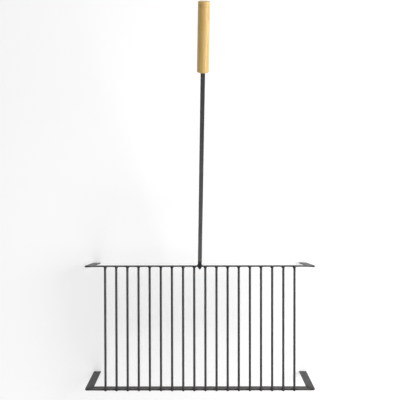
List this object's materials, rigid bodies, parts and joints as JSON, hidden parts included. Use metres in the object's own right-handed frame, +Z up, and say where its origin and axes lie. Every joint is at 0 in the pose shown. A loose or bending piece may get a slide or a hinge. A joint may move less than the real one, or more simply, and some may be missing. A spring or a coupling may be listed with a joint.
{
  "type": "grill grate with handle",
  "caption": "Standing cooking grate of round rods welded across two leaning flat-bar frames, with a long rising square handle and a turned wooden grip.",
  "frame": {"origin": "on the floor, in the middle of the whole object's width and length, handle included", "axes": "+X to the right, +Y from the front of the grate towards the grip, +Z up"},
  "size_m": [0.6, 0.9108, 0.4123],
  "materials": {
    "steel": "hot-rolled steel with its dark mill scale, satin",
    "weld": "weld metal and heat-darkened steel",
    "wood": "turned pale hardwood, lightly varnished"
  },
  "bodies": {
    "root": {"grill_rod_01": "steel", "grill_rod_02": "steel", "grill_rod_03": "steel", "grill_rod_04": "steel", "grill_rod_05": "steel", "grill_rod_06": "steel", "grill_rod_07": "steel", "grill_rod_08": "steel", "grill_rod_09": "steel", "grill_rod_10": "steel", "grill_rod_11": "steel", "grill_rod_12": "steel", "grill_rod_13": "steel", "grill_rod_14": "steel", "grill_rod_15": "steel", "grill_rod_16": "steel", "grill_rod_17": "steel", "grill_rod_18": "steel", "front_bar": "steel", "back_bar": "steel", "front_left_leg": "steel", "front_right_leg": "steel", "back_left_leg": "steel", "back_right_leg": "steel", "handle_bar": "steel", "wood_grip": "wood", "front_rod_welds": "weld", "back_rod_welds": "weld", "corner_welds": "weld", "handle_weld": "weld"}
  },
  "joints": []
}
